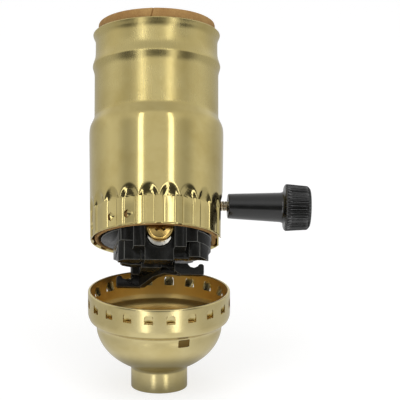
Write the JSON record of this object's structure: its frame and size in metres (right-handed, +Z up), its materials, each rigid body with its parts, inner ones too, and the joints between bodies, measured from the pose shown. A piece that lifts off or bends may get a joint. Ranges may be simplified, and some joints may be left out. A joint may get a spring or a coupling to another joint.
{
  "type": "turn knob lamp socket",
  "caption": "Brass lamp holder for a screw-base lamp with a side turn knob, opened: cap below, shell with liner and switch body tipped above it.",
  "frame": {"origin": "centre of the lower face of the cap's threaded neck", "axes": "+Z up the neck's axis, -Y to the front, +X to the turn knob's side"},
  "size_m": [0.0601, 0.076, 0.0971],
  "materials": {
    "shell_brass": "bright drawn brass plate",
    "cap_brass": "bright drawn brass plate, satin inside",
    "turned_brass": "plain turned or stamped brass",
    "nickel": "nickel-plated stamping",
    "steel": "plated steel",
    "phenolic": "black moulded phenolic",
    "knob_black": "black moulded plastic",
    "cardboard": "brown insulating board",
    "fibre": "vulcanised fibre"
  },
  "bodies": {
    "cap": {"cap_cup": "cap_brass", "neck_bushing": "turned_brass", "neck_set_screw": "steel"},
    "interior": {"switch_housing": "phenolic", "base_anchor": "phenolic", "shell_disc": "fibre", "screw_shell": "nickel", "centre_contact": "turned_brass", "centre_rivet": "turned_brass", "lamp_spring": "turned_brass", "hot_terminal_plate": "nickel", "hot_terminal_screw": "turned_brass", "neutral_terminal_plate": "nickel", "neutral_terminal_screw": "nickel", "shell_rivet_front": "turned_brass", "shell_rivet_rear": "turned_brass", "body_rivet_left": "steel", "body_rivet_right": "steel", "stem_bushing": "turned_brass"},
    "shell": {"outer_shell": "shell_brass", "insulating_sleeve": "cardboard"},
    "knob": {"stem": "steel", "stem_clip": "steel", "switch_cam": "fibre", "cam_contact": "turned_brass", "knob": "knob_black"}
  },
  "joints": [
    {"name": "interior_lift", "type": "slide", "parent": "cap", "child": "interior", "axis": [0, 0, 1], "range_m": [0, 0.04]},
    {"name": "shell_slide", "type": "slide", "parent": "interior", "child": "shell", "axis": [0, 0.515, 0.8572], "range_m": [0, 0.06]},
    {"name": "knob_turn", "type": "hinge", "parent": "interior", "child": "knob", "pos_m": [-0.00084, 0.01734, 0.04554], "axis": [0.9962, 0.0747, -0.0449], "continuous": true}
  ]
}
